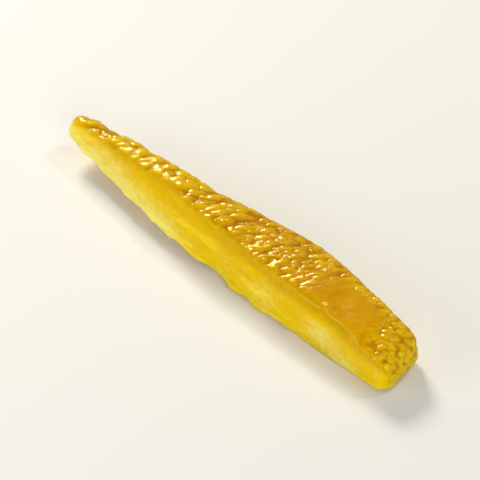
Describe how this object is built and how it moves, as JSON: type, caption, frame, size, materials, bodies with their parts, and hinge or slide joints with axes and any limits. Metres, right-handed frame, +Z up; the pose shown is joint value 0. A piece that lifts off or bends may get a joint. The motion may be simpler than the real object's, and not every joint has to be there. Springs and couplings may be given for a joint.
{
  "type": "candied yuzu peel strip",
  "caption": "Strip of candied yuzu peel: pebbled glossy rind on top, smooth pale cut sides, slim at one tip and blunt at the other.",
  "frame": {"origin": "middle of the bounding box, on the table the strip lies on", "axes": "+X along the strip towards its blunt end, +Z up out of the rind, -Y out of the cut side that shows in the picture"},
  "size_m": [0.0598, 0.0094, 0.0065],
  "materials": {
    "candied_peel": "glossy, translucent, sticky with syrup"
  },
  "bodies": {
    "root": {"peel": "candied_peel"}
  },
  "joints": []
}
